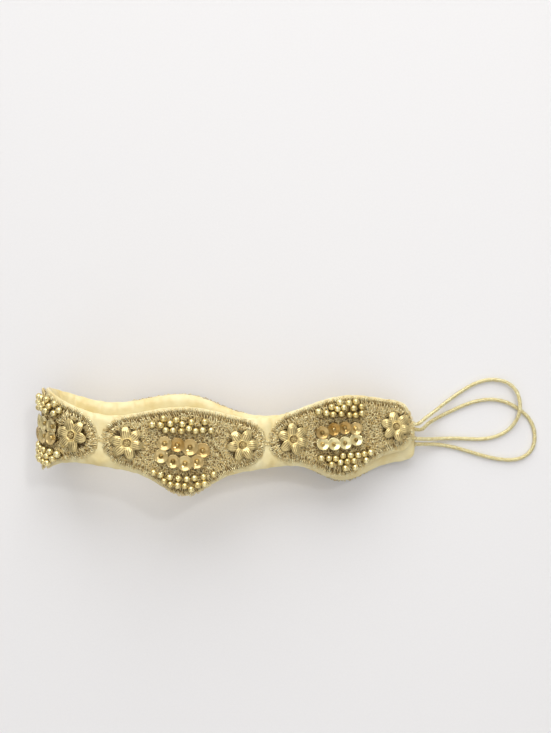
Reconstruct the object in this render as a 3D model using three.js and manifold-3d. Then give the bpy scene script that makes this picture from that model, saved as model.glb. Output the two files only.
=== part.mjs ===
// A beaded headband, folded in half and lying on one half, with a loop of elastic cord sewn in at each end.
//
// Millimetres, +Z up. The origin is under the middle of the band, at the height of what it lies on.
// Every piece is first worked out on the flat band, as three lengths:
//   s  along the band, 0 at the middle motif, below 0 on the half that lies down, above 0 on the upper half
//   v  across the band from the line of the flowers, above 0 towards the plain upper edge
//   h  outwards from the middle of the band's thickness, towards the trimmed side
// onBand(s, v, h) carries such a place onto the folded band.

import * as THREE from 'three';
import { mergeVertices } from 'three/addons/utils/BufferGeometryUtils.js';
import Module from 'manifold-3d';

const wasm = await Module();
wasm.setup();

// The trim's repeat along the band
const motifsEachSide = 2; // besides the middle motif
const motifPitch = 82; // from one motif's centre to the next
const flowerOffset = 28; // from a motif's centre to each of its two flowers
const endMargin = 9.5; // from the last flower's centre to the band's cut end

// The band's edges, from the line of the flowers
const crownRise = 18.8; // upper edge at a motif's centre
const neckRise = 12.2; // upper edge between two motifs
const pointDrop = 25; // lower edge at a motif's point
const neckDrop = 13.2; // lower edge between two motifs
const pointSpread = 0.42; // how blunt the point is, as a share of half the pitch
const endRise = 4.5; // upper corner of the straight cut at each end
const endDrop = 10; // lower corner of that cut
const endCorner = 8; // length over which the band rounds in to the cut

// Layers, from the inside of the band outwards
const bandThickness = 3; // padded cloth
const trimThickness = 1.2; // embroidered net with its threads
const layerGap = 0.3; // between pieces that lie on each other
const trimRimUpper = 1.5; // cloth left bare beside the trim, along the upper edge
const trimRimLower = 2.2; // and along the lower edge
const roundelReach = 11.5; // from a flower to where its round of stitches ends, towards the neck
const linkHalfWidth = 3; // half of the twisted link between two motifs

// What is sewn on the trim
const beadDiameter = 3;
const beadSides = 10;
const beadBed = 1.8; // thickness of the stitches that hold the beads
const bedMargin = 0.1; // how far those stitches reach past the beads
const bedSteps = 8; // straight steps of a bed along the band, more where the band turns
const bedTurn = 14; // the most that the band may turn in one of those steps, in degrees
const flowerRadius = 7.75;
const petalCount = 6;
const notchReach = 0.74; // how far out the notch between two petals begins, as a share of the petals
const bossRadius = 2.6; // round cup in a flower's middle
const sequinDiameter = 7.4;
const sequinSides = 10;
const sequinRim = 1.5; // height of a sequin's rim
const sequinDip = 1; // height of its middle
const sequinBed = 0.8; // thickness of the stitches under the sequins

// The fold, seen from the side
const foldShift = 4; // from the foremost line of the fold to the middle motif's centre
const heelRadius = 13; // lower, tighter half of the fold
const endClearance = 2; // between the two halves at their ends
const sideDrift = 5; // the most that the band's line strays sideways

// Elastic cord, one loop at each end
const cordDiameter = 2;
const cordSides = 8;
const cordStep = 2.6; // length of one step of the tube, in diameters
const upperExits = [0.6, -7.2]; // v of the upper loop's two ends
const lowerExits = [3.2, -4.6]; // v of the lower loop's two ends
const cordStraight = 4; // how far a cord leaves the band straight

// Runs of the upper half from the fold to its end. share is of that half's length, turn is in degrees,
// and the run with no turn takes the turn that brings the end down onto the lower half.
const upperRuns = [
  { share: 0.1265, turn: 64 },
  { share: 0.1265, turn: 30 },
  { share: 0.292, turn: null },
  { share: 0.268, turn: 4 },
  { share: 0.187, turn: -8 },
];

// Where the line of the flowers strays to. at is a share of half the band's length, drift of sideDrift.
const driftRows = [
  { at: -1, drift: -0.5 },
  { at: -0.55, drift: -0.8 },
  { at: -0.4, drift: 0.1 },
  { at: -0.2, drift: 0.6 },
  { at: 0, drift: 0.9 },
  { at: 0.14, drift: 0.1 },
  { at: 0.27, drift: -0.65 },
  { at: 0.55, drift: -1 },
  { at: 0.675, drift: -0.5 },
  { at: 0.95, drift: 0.55 },
  { at: 1, drift: 0.65 },
];

// Three hand-sewn layouts of a motif. point is its share of pointDrop. Each row of beads or sequins runs
// from and to a share of flowerOffset, at a v that goes from end through middle and back, and sinks by slope
// from its middle to where it stops, as shares of crownRise.
const layouts = {
  wide: {
    point: 1,
    upperBeads: [
      { count: 4, from: -0.38, to: 0.33, end: 0.61, middle: 0.62, slope: 0.01 },
      { count: 4, from: -0.555, to: -0.1, end: 0.55, middle: 0.51, slope: 0 },
      { count: 7, from: -0.35, to: 0.42, end: 0.4, middle: 0.42, slope: 0.01 },
    ],
    lowerBeads: [
      { count: 8, from: -0.555, to: 0.47, end: -0.74, middle: -0.9, slope: 0 },
      { count: 7, from: -0.38, to: 0.34, end: -0.95, middle: -1.07, slope: 0.03 },
    ],
    sequins: [
      { count: 4, from: -0.36, to: 0.3, end: -0.05, middle: -0.02, slope: 0.08 },
      { count: 4, from: -0.42, to: 0.2, end: -0.36, middle: -0.46, slope: 0.06 },
    ],
  },
  arched: {
    point: 0.91,
    upperBeads: [
      { count: 7, from: -0.53, to: 0.33, end: 0.55, middle: 0.53, slope: 0.09 },
      { count: 5, from: -0.31, to: 0.29, end: 0.67, middle: 0.67, slope: 0.04 },
      { count: 3, from: -0.14, to: 0.19, end: 0.79, middle: 0.81, slope: 0.02 },
    ],
    lowerBeads: [
      { count: 8, from: -0.47, to: 0.49, end: -0.61, middle: -0.67, slope: 0 },
      { count: 5, from: -0.27, to: 0.39, end: -0.8, middle: -0.79, slope: 0.02 },
      { count: 2, from: -0.02, to: 0.17, end: -0.92, middle: -0.92, slope: 0 },
    ],
    sequins: [
      { count: 4, from: -0.44, to: 0.21, end: 0.07, middle: 0.14, slope: 0 },
      { count: 4, from: -0.44, to: 0.21, end: -0.24, middle: -0.29, slope: 0 },
    ],
  },
  folded: {
    point: 0.91,
    upperBeads: [
      { count: 4, from: -0.665, to: -0.14, end: 0.48, middle: 0.5, slope: -0.01 },
      { count: 6, from: -0.745, to: 0.11, end: 0.59, middle: 0.63, slope: -0.03 },
      { count: 5, from: -0.665, to: 0.03, end: 0.73, middle: 0.78, slope: -0.03 },
    ],
    lowerBeads: [
      { count: 6, from: -0.735, to: 0.03, end: -0.56, middle: -0.6, slope: -0.02 },
      { count: 5, from: -0.66, to: -0.03, end: -0.7, middle: -0.75, slope: -0.02 },
      { count: 4, from: -0.5, to: -0.1, end: -0.84, middle: -0.88, slope: 0 },
    ],
    sequins: [
      { count: 4, from: -0.6, to: 0.05, end: 0.1, middle: 0.12, slope: 0 },
      { count: 4, from: -0.6, to: 0.05, end: -0.19, middle: -0.22, slope: 0 },
    ],
  },
};

// The motifs from the lying end to the upper end. side -1 turns a layout end for end.
const motifs = [];
for (let place = -motifsEachSide; place <= motifsEachSide; place++) {
  motifs.push({
    name: String(place + motifsEachSide + 1),
    centre: place * motifPitch,
    side: place <= 0 ? -1 : 1,
    layout: place === 0 ? layouts.folded : place % 2 === 0 ? layouts.arched : layouts.wide,
  });
}

// Routes of the two loops over the surface, from the straight stretch at the first exit to the one at the second.
// x is beyond the upper end, y from the line of the flowers there, z the height of the cord's middle.
const upperLoopRoute = [
  { x: 9, y: 4, z: 7.6 },
  { x: 13, y: 6.6, z: 5.8 },
  { x: 17, y: 9.5, z: 3.8 },
  { x: 21.5, y: 12.7, z: 2.2 },
  { x: 26, y: 15.8, z: 1.3 },
  { x: 30.5, y: 18.7, z: 1 },
  { x: 35, y: 21.2, z: 1 },
  { x: 40, y: 23, z: 1 },
  { x: 45, y: 23.7, z: 1.1 },
  { x: 50, y: 23.1, z: 1.5 },
  { x: 54, y: 21.4, z: 2.1 },
  { x: 57, y: 18.4, z: 2.8 },
  { x: 58.7, y: 14.5, z: 3.4 },
  { x: 59.3, y: 10, z: 3.7 },
  { x: 58.8, y: 5.4, z: 3.3 },
  { x: 57.2, y: 1.3, z: 2.1 },
  { x: 53.8, y: -3, z: 1.1 },
  { x: 48.8, y: -6, z: 1 },
  { x: 43.4, y: -7.6, z: 1 },
  { x: 37.5, y: -8.1, z: 1 },
  { x: 31.5, y: -7.9, z: 1 },
  { x: 25.5, y: -7.7, z: 1.1 },
  { x: 19.5, y: -7.7, z: 1.7 },
  { x: 14, y: -7.8, z: 3.2 },
  { x: 9, y: -7.7, z: 5.8 },
];
const lowerLoopRoute = [
  { x: 10.5, y: 0.4, z: 3.4 },
  { x: 14.5, y: 2.7, z: 1.8 },
  { x: 19.5, y: 5.2, z: 1.1 },
  { x: 25, y: 7.8, z: 1 },
  { x: 30.5, y: 10.2, z: 1 },
  { x: 36, y: 12, z: 1 },
  { x: 41.5, y: 13, z: 1 },
  { x: 47, y: 12.9, z: 1 },
  { x: 52, y: 11.8, z: 1 },
  { x: 56.8, y: 9.5, z: 1 },
  { x: 61, y: 6.6, z: 1 },
  { x: 64.6, y: 3.1, z: 1 },
  { x: 66.9, y: -1.3, z: 1 },
  { x: 67.8, y: -6.2, z: 1 },
  { x: 67.2, y: -11.2, z: 1 },
  { x: 64.8, y: -15.3, z: 1 },
  { x: 60.6, y: -18.1, z: 1 },
  { x: 55.2, y: -19.2, z: 1 },
  { x: 49.6, y: -18.9, z: 1 },
  { x: 43.8, y: -17.9, z: 1 },
  { x: 37.8, y: -16.3, z: 1 },
  { x: 31.8, y: -14.5, z: 1 },
  { x: 25.5, y: -12.7, z: 1 },
  { x: 19, y: -11.4, z: 1.3 },
  { x: 13, y: -10.7, z: 2.8 },
];

// Heights of the layers above the middle of the band's thickness
const trimBottom = bandThickness / 2 + layerGap;
const sewnOn = trimBottom + trimThickness + layerGap;
const outerHeight = sewnOn + beadDiameter; // beads and flowers stand equally high, and the band rests on them

// The fold as runs of even turn
const halfLength = motifsEachSide * motifPitch + flowerOffset + endMargin;
const heelLength = (heelRadius * Math.PI) / 2;
const upperLength = halfLength + foldShift;
const lyingLength = halfLength - foldShift - heelLength;
const upperEndHeight = outerHeight + bandThickness + endClearance;

function foldRuns(freeTurn) {
  const rows = [
    { length: lyingLength, turn: 0 },
    { length: heelLength, turn: 90 },
    ...upperRuns.map((run) => ({ length: run.share * upperLength, turn: run.turn ?? freeTurn })),
  ];
  let start = { s: -halfLength, x: 0, z: outerHeight, heading: Math.PI };
  return rows.map((row) => {
    const run = { ...start, length: row.length, bend: -THREE.MathUtils.degToRad(row.turn) / row.length };
    start = { s: run.s + run.length, ...alongRun(run, run.length) };
    return run;
  });
}

function alongRun(run, distance) {
  const heading = run.heading + run.bend * distance;
  if (run.bend === 0) {
    const x = run.x + distance * Math.cos(heading);
    return { x, z: run.z + distance * Math.sin(heading), heading };
  }
  const x = run.x + (Math.sin(heading) - Math.sin(run.heading)) / run.bend;
  return { x, z: run.z - (Math.cos(heading) - Math.cos(run.heading)) / run.bend, heading };
}

// The free turn that brings the upper end down to its height, found by halving
function landingTurn() {
  let low = -20;
  let high = 60;
  for (let pass = 0; pass < 40; pass++) {
    const turn = (low + high) / 2;
    const last = foldRuns(turn).at(-1);
    if (alongRun(last, last.length).z > upperEndHeight) low = turn;
    else high = turn;
  }
  return (low + high) / 2;
}

const runs = foldRuns(landingTurn());

function foldAt(s) {
  const run = runs.findLast((candidate) => s >= candidate.s) ?? runs[0];
  return alongRun(run, s - run.s);
}

// A smooth curve through the rows of a table
function through(rows, column, at) {
  const next = THREE.MathUtils.clamp(rows.findIndex((row) => row.at >= at), 1, rows.length - 1);
  const [before, from, to, after] = [next - 2, next - 1, next, next + 1].map((index) => (
    rows[THREE.MathUtils.clamp(index, 0, rows.length - 1)]));
  const span = to.at - from.at;
  const share = (at - from.at) / span;
  const leaving = ((to[column] - before[column]) / (to.at - before.at)) * span;
  const arriving = ((after[column] - from[column]) / (after.at - from.at)) * span;
  const [square, cube] = [share ** 2, share ** 3];
  return from[column] * (2 * cube - 3 * square + 1) + to[column] * (3 * square - 2 * cube)
    + leaving * (cube - 2 * square + share) + arriving * (cube - square);
}

function drift(s) {
  return sideDrift * through(driftRows, 'drift', s / halfLength);
}

function onBand(s, v, h) {
  const { x, z, heading } = foldAt(s);
  return new THREE.Vector3(x - h * Math.sin(heading), drift(s) + v, z + h * Math.cos(heading));
}

// Where a stiff piece sits on the band: x along it, y across it, z outwards
function seatOnBand(s, v, h) {
  const { heading } = foldAt(s);
  const along = new THREE.Vector3(Math.cos(heading), 0, Math.sin(heading));
  const across = new THREE.Vector3(0, 1, 0);
  const outwards = new THREE.Vector3(-Math.sin(heading), 0, Math.cos(heading));
  return new THREE.Matrix4().makeBasis(along, across, outwards).setPosition(onBand(s, v, h));
}

function nearestMotif(s) {
  return motifs.reduce((best, motif) => (Math.abs(s - motif.centre) < Math.abs(s - best.centre) ? motif : best));
}

// The band's two edges at s: an even wave above, a blunt point under each motif, and rounded ends
function bandEdges(s) {
  const motif = nearestMotif(s);
  const share = Math.abs(s - motif.centre) / (motifPitch / 2);
  const rise = neckRise + ((crownRise - neckRise) * (1 + Math.cos(Math.PI * share))) / 2;
  const drop = neckDrop + (motif.layout.point * pointDrop - neckDrop) * Math.exp(-((share / pointSpread) ** 2));
  const fromEnd = halfLength - Math.abs(s);
  if (fromEnd >= endCorner) return { rise, drop };
  const rounding = Math.sqrt(Math.max(0, 1 - (1 - fromEnd / endCorner) ** 2));
  return { rise: endRise + (rise - endRise) * rounding, drop: endDrop + (drop - endDrop) * rounding };
}

// The trim's edges: inside the band's edges, round past each flower, and a narrow link at each neck
function trimEdges(s) {
  const { rise, drop } = bandEdges(s);
  const pastFlower = Math.max(0, Math.abs(s - nearestMotif(s).centre) - flowerOffset) / roundelReach;
  const rounding = pastFlower < 1 ? Math.sqrt(1 - pastFlower ** 2) : 0;
  return {
    rise: Math.max(linkHalfWidth, (rise - trimRimUpper) * rounding),
    drop: Math.max(linkHalfWidth, (drop - trimRimLower) * rounding),
  };
}

// A strip of cloth along the band: a box whose length, height and depth become s, v and h
function stripOnBand({ from, to, steps, across, edges, bottom, thickness, edgeShare }) {
  const box = new THREE.BoxGeometry(1, 1, 1, steps, across, 1);
  const place = box.attributes.position;
  for (let index = 0; index < place.count; index++) {
    const s = THREE.MathUtils.lerp(from, to, place.getX(index) + 0.5);
    const { rise, drop } = edges(s);
    const side = Math.sin(Math.PI * place.getY(index));
    const v = THREE.MathUtils.lerp(-drop, rise, (side + 1) / 2);
    const fullness = edgeShare + (1 - edgeShare) * Math.cbrt(1 - Math.abs(side) ** 3);
    const h = bottom + thickness / 2 + place.getZ(index) * thickness * fullness;
    place.setXYZ(index, ...onBand(s, v, h));
  }
  return welded(box);
}

function welded(geometry) {
  const bare = geometry.clone();
  bare.deleteAttribute('normal');
  bare.deleteAttribute('uv');
  return mergeVertices(bare, 1e-4);
}

function solidFrom(geometry, seat = new THREE.Matrix4()) {
  const mesh = welded(geometry.clone().applyMatrix4(seat));
  const vertProperties = new Float32Array(mesh.attributes.position.array);
  return new wasm.Manifold(new wasm.Mesh({ numProp: 3, vertProperties, triVerts: new Uint32Array(mesh.index.array) }));
}

function geometryFrom(solid) {
  const { vertProperties, triVerts } = solid.getMesh();
  const geometry = new THREE.BufferGeometry();
  geometry.setAttribute('position', new THREE.BufferAttribute(vertProperties, 3));
  geometry.setIndex(new THREE.BufferAttribute(triVerts, 1));
  return geometry;
}

function joined(solids) {
  return geometryFrom(solids.reduce((whole, solid) => whole.add(solid)));
}

// A round of profile points [radius, height] closed on its axis, turned so that +Z is its axis
function turned(profile, sides) {
  const points = profile.map(([radius, height]) => new THREE.Vector2(radius, height));
  return new THREE.LatheGeometry(points, sides).rotateX(Math.PI / 2);
}

const cream = new THREE.MeshStandardMaterial({ color: 0xf0deaa, roughness: 0.75, metalness: 0 });
const thread = new THREE.MeshStandardMaterial({ color: 0xbfae82, roughness: 0.5, metalness: 0.5 });
const gold = new THREE.MeshStandardMaterial({ color: 0xc9a862, roughness: 0.3, metalness: 0.9 });
const paleGold = new THREE.MeshStandardMaterial({ color: 0xe3c48c, roughness: 0.2, metalness: 0.8 });
const goldCord = new THREE.MeshStandardMaterial({ color: 0xded49c, roughness: 0.5, metalness: 0.4 });

function piece(name, geometry, material) {
  geometry.computeVertexNormals();
  const mesh = new THREE.Mesh(geometry, material);
  mesh.name = name;
  return mesh;
}

function makeBand() {
  const strip = stripOnBand({
    from: -halfLength,
    to: halfLength,
    steps: 66,
    across: 4,
    edges: bandEdges,
    bottom: -bandThickness / 2,
    thickness: bandThickness,
    edgeShare: 0.35,
  });
  return piece('padded_band', strip, cream);
}

function makeTrim() {
  const trimHalf = halfLength - endMargin + roundelReach * 0.7;
  const strip = stripOnBand({
    from: -trimHalf,
    to: trimHalf,
    steps: 88,
    across: 2,
    edges: trimEdges,
    bottom: trimBottom,
    thickness: trimThickness,
    edgeShare: 0.6,
  });
  return piece('embroidered_trim', strip, thread);
}

// A stamped flower: a ring of petals round a cup. Every third spoke is a notch between two petals.
function makeFlower(name, s) {
  const spokes = petalCount * 3;
  const height = beadDiameter;
  const lathe = turned([
    [0, 0],
    [flowerRadius, height * 0.35],
    [flowerRadius * 0.7, height * 0.8],
    [bossRadius * 1.15, height * 0.5],
    [bossRadius, height],
    [0, height],
  ], spokes);
  const place = lathe.attributes.position;
  for (let index = 0; index < place.count; index++) {
    const [x, y] = [place.getX(index), place.getY(index)];
    const spoke = Math.round((Math.atan2(y, x) / (2 * Math.PI)) * spokes + spokes);
    if (Math.hypot(x, y) < bossRadius * 1.5 || spoke % 3 !== 0) continue;
    place.setXYZ(index, x * notchReach, y * notchReach, place.getZ(index) * notchReach);
  }
  const flower = piece(name, welded(lathe), gold);
  flower.applyMatrix4(seatOnBand(s, 0, sewnOn));
  return flower;
}

// The places of a row's beads or sequins on the flat band
function rowPlaces(motif, row) {
  return Array.from({ length: row.count }, (_, index) => {
    const share = index / (row.count - 1);
    const alongMotif = THREE.MathUtils.lerp(row.from, row.to, share) * flowerOffset;
    return { s: motif.centre + motif.side * alongMotif, v: rowHeight(row, share) * crownRise };
  });
}

function rowHeight(row, share) {
  const fromMiddle = 2 * share - 1;
  return row.middle + (row.end - row.middle) * fromMiddle ** 2 - row.slope * fromMiddle;
}

// The stitches that hold a field of beads or sequins: a thin bed that follows their places
function bedUnder(places, margin, thickness) {
  const along = places.map((place) => place.s);
  const from = Math.min(...along) - margin;
  const to = Math.max(...along) + margin;
  const turn = THREE.MathUtils.radToDeg(Math.abs(foldAt(to).heading - foldAt(from).heading));
  const steps = Math.max(bedSteps, Math.ceil(turn / bedTurn));
  const reach = margin + (to - from) / steps;
  const edges = (s) => {
    const near = places.filter((place) => Math.abs(place.s - s) < reach).map((place) => place.v);
    return { rise: Math.max(...near) + margin, drop: margin - Math.min(...near) };
  };
  return solidFrom(stripOnBand({
    from, to, steps, across: 1, edges, bottom: sewnOn, thickness, edgeShare: 1,
  }));
}

// A field of beads, each a dome that rises out of the bed
function makeBeads(name, motif, rows) {
  const radius = beadDiameter / 2;
  const dome = turned([
    [0, beadBed * 0.4],
    [radius, radius],
    [radius * 0.72, radius * 1.7],
    [0, beadDiameter],
  ], beadSides);
  const places = rows.flatMap((row) => rowPlaces(motif, row));
  const beads = places.map((bead) => solidFrom(dome, seatOnBand(bead.s, bead.v, sewnOn)));
  return piece(name, joined([bedUnder(places, radius + bedMargin, beadBed), ...beads]), gold);
}

// A field of cupped sequins that overlap
function makeSequins(name, motif) {
  const radius = sequinDiameter / 2;
  const cup = turned([
    [0, sequinBed * 0.25],
    [radius, sequinBed * 0.25],
    [radius, sequinRim],
    [0, sequinDip],
  ], sequinSides);
  const places = motif.layout.sequins.flatMap((row) => rowPlaces(motif, row));
  const cups = places.map((place) => solidFrom(cup, seatOnBand(place.s, place.v, sewnOn)));
  return piece(name, joined([bedUnder(places, radius + bedMargin, sequinBed), ...cups]), paleGold);
}

// A loop of cord from one exit in the band's end to the other, by way of its route
function makeLoop(name, end, exits, route) {
  const outwards = Math.sign(end);
  const clear = layerGap;
  const leave = (v, distance) => onBand(end, v, 0).addScaledVector(endDirection(end, outwards), distance);
  const origin = onBand(halfLength, 0, 0).setZ(0);
  const overSurface = route.map((point) => new THREE.Vector3(point.x, point.y, point.z).add(origin));
  const curve = new THREE.CatmullRomCurve3([
    leave(exits[0], clear),
    leave(exits[0], cordStraight),
    ...overSurface,
    leave(exits[1], cordStraight),
    leave(exits[1], clear),
  ], false, 'centripetal');
  const section = new THREE.Shape();
  for (let side = 0; side < cordSides; side++) {
    const angle = (side / cordSides) * 2 * Math.PI;
    const point = [Math.cos(angle) * (cordDiameter / 2), Math.sin(angle) * (cordDiameter / 2)];
    if (side === 0) section.moveTo(...point);
    else section.lineTo(...point);
  }
  section.closePath();
  const steps = Math.round(curve.getLength() / (cordStep * cordDiameter));
  const tube = new THREE.ExtrudeGeometry(section, { steps, extrudePath: curve, bevelEnabled: false });
  return piece(name, welded(tube), goldCord);
}

function endDirection(end, outwards) {
  const { heading } = foldAt(end);
  return new THREE.Vector3(Math.cos(heading), 0, Math.sin(heading)).multiplyScalar(outwards);
}

const band = new THREE.Group();
band.add(makeBand(), makeTrim());
for (const motif of motifs) {
  band.add(makeFlower(`flower_${motif.name}a`, motif.centre - flowerOffset));
  band.add(makeFlower(`flower_${motif.name}b`, motif.centre + flowerOffset));
  band.add(makeBeads(`upper_beads_${motif.name}`, motif, motif.layout.upperBeads));
  band.add(makeBeads(`lower_beads_${motif.name}`, motif, motif.layout.lowerBeads));
  band.add(makeSequins(`sequins_${motif.name}`, motif));
}

const cords = new THREE.Group();
cords.add(makeLoop('cord_loop_upper', halfLength, upperExits, upperLoopRoute));
cords.add(makeLoop('cord_loop_lower', -halfLength, lowerExits, lowerLoopRoute));

// The origin goes under the middle of the band, cords left aside
const extent = new THREE.Box3().setFromObject(band, true);
const middle = extent.getCenter(new THREE.Vector3());
const headband = new THREE.Group();
headband.add(band, cords);
headband.position.set(-middle.x, -middle.y, 0);

export default headband;
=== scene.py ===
import math

import bpy
import numpy as np
from mathutils import Matrix, Vector


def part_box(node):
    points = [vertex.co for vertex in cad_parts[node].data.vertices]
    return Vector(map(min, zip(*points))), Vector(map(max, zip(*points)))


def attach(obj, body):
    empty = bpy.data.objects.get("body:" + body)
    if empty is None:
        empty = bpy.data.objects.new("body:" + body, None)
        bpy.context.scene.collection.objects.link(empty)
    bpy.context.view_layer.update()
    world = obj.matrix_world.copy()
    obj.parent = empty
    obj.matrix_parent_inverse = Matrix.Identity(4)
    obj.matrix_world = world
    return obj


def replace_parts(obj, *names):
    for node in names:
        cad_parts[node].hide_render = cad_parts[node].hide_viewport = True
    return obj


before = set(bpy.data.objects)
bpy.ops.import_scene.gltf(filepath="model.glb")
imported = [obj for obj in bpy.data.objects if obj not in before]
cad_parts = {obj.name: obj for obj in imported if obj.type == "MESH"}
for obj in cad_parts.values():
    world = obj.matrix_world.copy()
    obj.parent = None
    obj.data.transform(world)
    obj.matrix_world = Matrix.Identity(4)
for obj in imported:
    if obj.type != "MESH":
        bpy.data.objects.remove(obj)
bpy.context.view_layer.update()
bpy.ops.object.select_all(action="DESELECT")
bpy.context.scene.view_settings.view_transform = "Standard"
mm = 0.001
chance = np.random.default_rng(27)

# The band is worked out flat, in mm: s along it from the middle motif, below 0 on the lying half,
# v across it from the line of the flowers, h outwards from the middle of its thickness.
fold = {
    "halfLength": 201.5,
    "thickness": 3.0,
    "shift": 4,  # from the foremost line of the fold to the middle motif's centre
    "heelRadius": 13,  # the lower, tighter half of the fold
    "endClearance": 2,
    "outerHeight": 6.3,  # beads and flowers stand this high, and the band lies on them
    "runShares": [0.1265, 0.1265, 0.292, 0.268, 0.187],
    "runTurns": [64, 30, None, 4, -8],
    "drift": 5,  # the most that the line of the flowers strays sideways
    "driftAt": [-1, -0.55, -0.4, -0.2, 0, 0.14, 0.27, 0.55, 0.675, 0.95, 1],
    "driftBy": [-0.5, -0.8, 0.1, 0.6, 0.9, 0.1, -0.65, -1, -0.5, 0.55, 0.65],
    "stations": 4031,
}
motifPitch, flowerOffset = 82, 28


def sums(steps):
    return np.concatenate([[0], np.cumsum(steps)])


def foldTable(freeTurn):
    half = fold["halfLength"]
    heel = fold["heelRadius"] * math.pi / 2
    lengths = [half - fold["shift"] - heel, heel]
    lengths += [share * (half + fold["shift"]) for share in fold["runShares"]]
    turns = [0, 90] + [freeTurn if turn is None else turn for turn in fold["runTurns"]]
    s = np.linspace(-half, half, fold["stations"])
    heading = math.pi - np.interp(s, sums(lengths) - half, sums(np.radians(turns)))
    middle, step = (heading[1:] + heading[:-1]) / 2, s[1] - s[0]
    return s, sums(np.cos(middle)) * step, fold["outerHeight"] + sums(np.sin(middle)) * step, heading


def landedFold():
    # the free turn that brings the upper end down to its height, found by halving
    low, high = -20.0, 60.0
    for _ in range(40):
        turn = (low + high) / 2
        if foldTable(turn)[2][-1] > fold["outerHeight"] + fold["thickness"] + fold["endClearance"]:
            low = turn
        else:
            high = turn
    return foldTable(turn)


foldS, foldX, foldZ, foldHeading = landedFold()


def smoothThrough(at, xs, ys):
    # a smooth curve through given points, level past its ends
    xs, ys = np.asarray(xs, float), np.asarray(ys, float)
    slopes = np.gradient(ys, xs, edge_order=1)
    slopes[1:-1] = (ys[2:] - ys[:-2]) / (xs[2:] - xs[:-2])
    at = np.clip(at, xs[0], xs[-1])
    i = np.clip(np.searchsorted(xs, at) - 1, 0, len(xs) - 2)
    span = xs[i + 1] - xs[i]
    t = (at - xs[i]) / span
    return (ys[i] * (2 * t**3 - 3 * t**2 + 1) + ys[i + 1] * (3 * t**2 - 2 * t**3)
            + slopes[i] * span * (t**3 - 2 * t**2 + t) + slopes[i + 1] * span * (t**3 - t**2))


def drift(s):
    share = np.asarray(s) / fold["halfLength"]
    return fold["drift"] * smoothThrough(share, fold["driftAt"], fold["driftBy"])


def flatToFold(s, v, h):
    s, v, h = np.broadcast_arrays(*(np.asarray(value, float) for value in (s, v, h)))
    heading = np.interp(s, foldS, foldHeading)
    x = np.interp(s, foldS, foldX) - h * np.sin(heading)
    z = np.interp(s, foldS, foldZ) + h * np.cos(heading)
    return np.stack([x, drift(s) + v, z], axis=-1)


# The part's origin is under the middle of the band: a flower's own box gives the way there
flowerBox = np.array([list(corner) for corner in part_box("flower_2a")]) / mm
originShift = flowerBox.mean(axis=0) - flatToFold(-motifPitch - flowerOffset, 0, 0)
originShift[2] = 0


def onBand(s, v, h):
    return flatToFold(s, v, h) + originShift


def spun(first, second, angle):
    # two axes turned towards each other by an angle
    cos, sin = np.cos(angle)[..., None], np.sin(angle)[..., None]
    return first * cos + second * sin, second * cos - first * sin


def seats(s, v, h, turn=0.0, tip=0.0, lean=0.0):
    # axes and places of stiff things on the band: turned in its plane, then tipped up at either end
    given = (np.asarray(value, float) for value in (s, v, h, turn, tip, lean))
    s, v, h, turn, tip, lean = np.broadcast_arrays(*given)
    heading = np.interp(s, foldS, foldHeading)
    zero, one = np.zeros_like(s), np.ones_like(s)
    first = np.stack([np.cos(heading), zero, np.sin(heading)], axis=-1)
    second = np.stack([zero, one, zero], axis=-1)
    out = np.stack([-np.sin(heading), zero, np.cos(heading)], axis=-1)
    first, second = spun(first, second, turn)
    first, out = spun(first, out, tip)
    second, out = spun(second, out, lean)
    return np.stack([first, second, out], axis=-1), onBand(s, v, h)


motifs = {
    # count, start, end, v at the ends, v in the middle and sinking of each row: start and end are shares of
    # flowerOffset, and the others of crownRise. point is the share of pointDrop.
    "wide": {
        "point": 1,
        "upper": [(4, -0.38, 0.33, 0.61, 0.62, 0.01), (4, -0.555, -0.1, 0.55, 0.51, 0),
                  (7, -0.35, 0.42, 0.4, 0.42, 0.01)],
        "lower": [(8, -0.555, 0.47, -0.74, -0.9, 0), (7, -0.38, 0.34, -0.95, -1.07, 0.03)],
        "sequins": [(4, -0.36, 0.3, -0.05, -0.02, 0.08), (4, -0.42, 0.2, -0.36, -0.46, 0.06)],
    },
    "arched": {
        "point": 0.91,
        "upper": [(7, -0.53, 0.33, 0.55, 0.53, 0.09), (5, -0.31, 0.29, 0.67, 0.67, 0.04),
                  (3, -0.14, 0.19, 0.79, 0.81, 0.02)],
        "lower": [(8, -0.47, 0.49, -0.61, -0.67, 0), (5, -0.27, 0.39, -0.8, -0.79, 0.02),
                  (2, -0.02, 0.17, -0.92, -0.92, 0)],
        "sequins": [(4, -0.44, 0.21, 0.07, 0.14, 0), (4, -0.44, 0.21, -0.24, -0.29, 0)],
    },
    "folded": {
        "point": 0.91,
        "upper": [(4, -0.665, -0.14, 0.48, 0.5, -0.01), (6, -0.745, 0.11, 0.59, 0.63, -0.03),
                  (5, -0.665, 0.03, 0.73, 0.78, -0.03)],
        "lower": [(6, -0.735, 0.03, -0.56, -0.6, -0.02), (5, -0.66, -0.03, -0.7, -0.75, -0.02),
                  (4, -0.5, -0.1, -0.84, -0.88, 0)],
        "sequins": [(4, -0.6, 0.05, 0.1, 0.12, 0), (4, -0.6, 0.05, -0.19, -0.22, 0)],
    },
}
motifRows = [
    {"name": str(place + 3), "centre": place * motifPitch, "side": -1 if place <= 0 else 1,
     "kind": "folded" if place == 0 else "wide" if place % 2 else "arched"}
    for place in range(-2, 3)
]
edge = {
    "crownRise": 18.8, "neckRise": 12.2, "pointDrop": 25, "neckDrop": 13.2, "pointSpread": 0.42,
    "endRise": 4.5, "endDrop": 10, "endCorner": 8, "trimRimUpper": 1.6, "trimRimPoint": 0.9,
    "trimRimFlower": 2.9, "trimPointSpread": 0.4, "roundelReach": 11.5,
}


def motifShare(s):
    place = np.clip(np.round(s / motifPitch), -2, 2)
    return place, np.abs(s - place * motifPitch) / (motifPitch / 2)


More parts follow.
